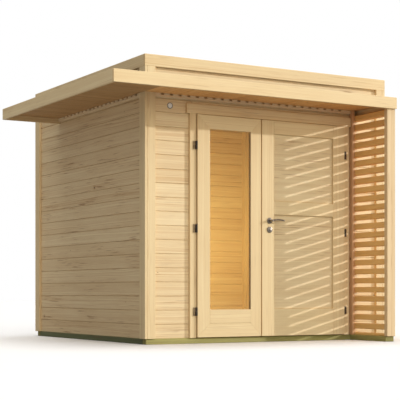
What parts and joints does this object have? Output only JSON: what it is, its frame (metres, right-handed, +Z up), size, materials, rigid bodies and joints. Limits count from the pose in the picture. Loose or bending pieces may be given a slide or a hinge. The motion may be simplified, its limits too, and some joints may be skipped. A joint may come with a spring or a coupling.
{
  "type": "flat-roofed timber garden house",
  "caption": "Flat-roofed timber garden house with glazed and panelled door leaves, an L-shaped canopy and a slatted side screen.",
  "frame": {"origin": "centre of the whole footprint, canopy included, at ground level", "axes": "+Z up, the front with the doors faces -Y, +X runs along the front to the screen"},
  "size_m": [2.876, 2.732, 2.26],
  "materials": {
    "cladding": "planed spruce, untreated, grooved boards",
    "trim": "planed spruce, untreated",
    "lining": "planed spruce, untreated",
    "leaf": "planed spruce, untreated",
    "panel": "planed spruce boards, untreated",
    "soffit": "planed spruce boards, untreated",
    "screen": "planed spruce, untreated",
    "roof_timber": "sawn spruce",
    "floor": "planed spruce boards",
    "treated_timber": "pressure-treated, greenish",
    "glass": "clear",
    "hinge_metal": "dark, matt",
    "handle_metal": "brushed",
    "badge_metal": "satin, blank",
    "felt": "mineral roofing felt"
  },
  "bodies": {
    "house": {"base_long_beams": "treated_timber", "base_cross_beams": "treated_timber", "screen_bearer": "treated_timber", "floor_boards": "floor", "left_wall": "cladding", "right_wall": "cladding", "back_wall": "cladding", "front_wall_left": "cladding", "front_wall_right": "cladding", "front_wall_top": "cladding", "front_corners": "trim", "back_corners": "trim", "casing_sides": "trim", "door_header": "trim", "door_jambs": "lining", "door_head": "lining", "door_sill": "lining", "frame_hinges": "hinge_metal", "attic_long_walls": "cladding", "attic_side_walls": "cladding", "top_fascia_long": "trim", "top_fascia_side": "trim", "roof_beams": "roof_timber", "roof_deck": "roof_timber", "roof_felt": "felt", "canopy_front_boards": "soffit", "canopy_left_boards": "soffit", "canopy_fascia_front": "trim", "canopy_fascia_left": "trim", "canopy_fascia_ends": "trim", "vent_combs": "lining", "screen_posts": "screen", "screen_slats": "screen", "badge": "badge_metal"},
    "left_door": {"left_leaf_stiles": "leaf", "left_leaf_rails": "leaf", "left_leaf_beads": "leaf", "left_leaf_glass": "glass", "left_leaf_hinges": "hinge_metal"},
    "right_door": {"right_leaf_stiles": "leaf", "right_leaf_rails": "leaf", "right_leaf_panels": "panel", "right_leaf_hinges": "hinge_metal", "lock_plates": "handle_metal"},
    "handle": {"lever_handle": "handle_metal"}
  },
  "joints": [
    {"name": "left_door_hinge", "type": "hinge", "parent": "house", "child": "left_door", "pos_m": [-0.4675, -0.87, 0.93], "axis": [0, 0, -1], "range_deg": [0, 100]},
    {"name": "right_door_hinge", "type": "hinge", "parent": "house", "child": "right_door", "pos_m": [0.9965, -0.87, 0.93], "axis": [0, 0, 1], "range_deg": [0, 90]},
    {"name": "lever_turn", "type": "hinge", "parent": "right_door", "child": "handle", "pos_m": [0.221, -0.855, 0.995], "axis": [0, 1, 0], "range_deg": [0, 35], "stiffness_Nm_per_rad": 1.5, "springref_deg": -20.05}
  ]
}
